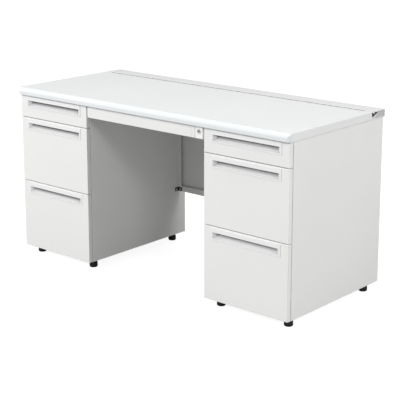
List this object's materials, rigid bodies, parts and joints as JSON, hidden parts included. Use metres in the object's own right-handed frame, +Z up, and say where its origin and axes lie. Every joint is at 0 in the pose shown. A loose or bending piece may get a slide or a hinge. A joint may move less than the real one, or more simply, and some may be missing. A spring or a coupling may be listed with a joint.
{
  "type": "teacher desk",
  "caption": "Double pedestal steel teacher's desk with drawers on both sides, a shallow locking centre drawer, a modesty panel and a lidded cable duct along the back of the white worktop.",
  "frame": {"origin": "on the floor under the middle of the desk, at the bottom centre of its bounding box", "axes": "+X to the seated user's right along the worktop's length, +Y from the user's side to the back, +Z up"},
  "size_m": [1.4, 0.6, 0.72],
  "materials": {
    "laminate": "white melamine laminate on particle board, satin",
    "edge_trim": "white extruded edging, satin",
    "duct_plastic": "pale grey-white moulded plastic, matte",
    "steel_paint": "white powder coat, fine texture",
    "zinc_steel": "zinc plated",
    "dark_steel": "black oxide",
    "trim_plastic": "white moulded plastic, satin",
    "handle_plastic": "white moulded plastic, satin",
    "chrome": "polished",
    "foot_plastic": "black moulded plastic"
  },
  "bodies": {
    "carcass": {"worktop_panel": "laminate", "worktop_front_trim": "edge_trim", "worktop_side_bands": "edge_trim", "cable_duct_channel": "duct_plastic", "duct_end_caps": "duct_plastic", "left_pedestal_outer_side": "steel_paint", "left_pedestal_inner_side": "steel_paint", "right_pedestal_outer_side": "steel_paint", "right_pedestal_inner_side": "steel_paint", "pedestal_backs": "steel_paint", "left_pedestal_base": "steel_paint", "right_pedestal_base": "steel_paint", "left_pedestal_frame": "steel_paint", "right_pedestal_frame": "steel_paint", "drawer_slide_channels": "zinc_steel", "centre_drawer_rails": "zinc_steel", "lock_panel": "trim_plastic", "lock_barrel": "chrome", "lock_nut": "zinc_steel", "modesty_panel": "steel_paint", "modesty_brackets": "dark_steel", "assembly_screws": "zinc_steel"},
    "duct_lid": {"duct_lid": "duct_plastic"},
    "centre_drawer": {"centre_drawer_front": "steel_paint", "centre_drawer_end_caps": "trim_plastic", "centre_drawer_tray": "steel_paint"},
    "lock_core": {"lock_plug": "chrome", "lock_cam": "zinc_steel"},
    "left_top_drawer": {"left_top_drawer_front": "steel_paint", "left_top_drawer_handle": "handle_plastic", "left_top_drawer_tray": "steel_paint"},
    "left_middle_drawer": {"left_middle_drawer_front": "steel_paint", "left_middle_drawer_handle": "handle_plastic", "left_middle_drawer_tray": "steel_paint", "left_middle_drawer_runners": "zinc_steel"},
    "left_file_drawer": {"left_file_drawer_front": "steel_paint", "left_file_drawer_handle": "handle_plastic", "left_file_drawer_tray": "steel_paint", "left_file_drawer_runners": "zinc_steel"},
    "left_file_slide_middles": {"left_file_slide_middles": "zinc_steel"},
    "left_foot_front_left": {"left_foot_front_left": "foot_plastic"},
    "left_foot_rear_left": {"left_foot_rear_left": "foot_plastic"},
    "left_foot_front_right": {"left_foot_front_right": "foot_plastic"},
    "left_foot_rear_right": {"left_foot_rear_right": "foot_plastic"},
    "right_top_drawer": {"right_top_drawer_front": "steel_paint", "right_top_drawer_handle": "handle_plastic", "right_top_drawer_tray": "steel_paint"},
    "right_middle_drawer": {"right_middle_drawer_front": "steel_paint", "right_middle_drawer_handle": "handle_plastic", "right_middle_drawer_tray": "steel_paint", "right_middle_drawer_runners": "zinc_steel"},
    "right_file_drawer": {"right_file_drawer_front": "steel_paint", "right_file_drawer_handle": "handle_plastic", "right_file_drawer_tray": "steel_paint", "right_file_drawer_runners": "zinc_steel"},
    "right_file_slide_middles": {"right_file_slide_middles": "zinc_steel"},
    "right_foot_front_left": {"right_foot_front_left": "foot_plastic"},
    "right_foot_rear_left": {"right_foot_rear_left": "foot_plastic"},
    "right_foot_front_right": {"right_foot_front_right": "foot_plastic"},
    "right_foot_rear_right": {"right_foot_rear_right": "foot_plastic"}
  },
  "joints": [
    {"name": "duct_lid_hinge", "type": "hinge", "parent": "carcass", "child": "duct_lid", "pos_m": [0, 0.2962, 0.7168], "axis": [-1, 0, 0], "range_deg": [0, 95]},
    {"name": "centre_drawer_slide", "type": "slide", "parent": "carcass", "child": "centre_drawer", "axis": [0, -1, 0], "range_m": [0, 0.28]},
    {"name": "lock_turn", "type": "hinge", "parent": "carcass", "child": "lock_core", "pos_m": [0.282, -0.287, 0.67], "axis": [0, 1, 0], "range_deg": [0, 90]},
    {"name": "left_top_drawer_slide", "type": "slide", "parent": "carcass", "child": "left_top_drawer", "axis": [0, -1, 0], "range_m": [0, 0.36]},
    {"name": "left_middle_drawer_slide", "type": "slide", "parent": "carcass", "child": "left_middle_drawer", "axis": [0, -1, 0], "range_m": [0, 0.38]},
    {"name": "left_file_drawer_slide", "type": "slide", "parent": "carcass", "child": "left_file_drawer", "axis": [0, -1, 0], "range_m": [0, 0.46]},
    {"name": "left_file_slide_middles_slide", "type": "slide", "parent": "carcass", "child": "left_file_slide_middles", "axis": [0, -1, 0], "range_m": [0, 0.23]},
    {"name": "left_foot_front_left_screw", "type": "slide", "parent": "carcass", "child": "left_foot_front_left", "axis": [0, 0, -1], "range_m": [0, 0.012]},
    {"name": "left_foot_rear_left_screw", "type": "slide", "parent": "carcass", "child": "left_foot_rear_left", "axis": [0, 0, -1], "range_m": [0, 0.012]},
    {"name": "left_foot_front_right_screw", "type": "slide", "parent": "carcass", "child": "left_foot_front_right", "axis": [0, 0, -1], "range_m": [0, 0.012]},
    {"name": "left_foot_rear_right_screw", "type": "slide", "parent": "carcass", "child": "left_foot_rear_right", "axis": [0, 0, -1], "range_m": [0, 0.012]},
    {"name": "right_top_drawer_slide", "type": "slide", "parent": "carcass", "child": "right_top_drawer", "axis": [0, -1, 0], "range_m": [0, 0.36]},
    {"name": "right_middle_drawer_slide", "type": "slide", "parent": "carcass", "child": "right_middle_drawer", "axis": [0, -1, 0], "range_m": [0, 0.38]},
    {"name": "right_file_drawer_slide", "type": "slide", "parent": "carcass", "child": "right_file_drawer", "axis": [0, -1, 0], "range_m": [0, 0.46]},
    {"name": "right_file_slide_middles_slide", "type": "slide", "parent": "carcass", "child": "right_file_slide_middles", "axis": [0, -1, 0], "range_m": [0, 0.23]},
    {"name": "right_foot_front_left_screw", "type": "slide", "parent": "carcass", "child": "right_foot_front_left", "axis": [0, 0, -1], "range_m": [0, 0.012]},
    {"name": "right_foot_rear_left_screw", "type": "slide", "parent": "carcass", "child": "right_foot_rear_left", "axis": [0, 0, -1], "range_m": [0, 0.012]},
    {"name": "right_foot_front_right_screw", "type": "slide", "parent": "carcass", "child": "right_foot_front_right", "axis": [0, 0, -1], "range_m": [0, 0.012]},
    {"name": "right_foot_rear_right_screw", "type": "slide", "parent": "carcass", "child": "right_foot_rear_right", "axis": [0, 0, -1], "range_m": [0, 0.012]}
  ],
  "couplings": [
    {"joint": "left_file_slide_middles_slide", "follows": "left_file_drawer_slide", "ratio": 0.5},
    {"joint": "right_file_slide_middles_slide", "follows": "right_file_drawer_slide", "ratio": 0.5}
  ]
}
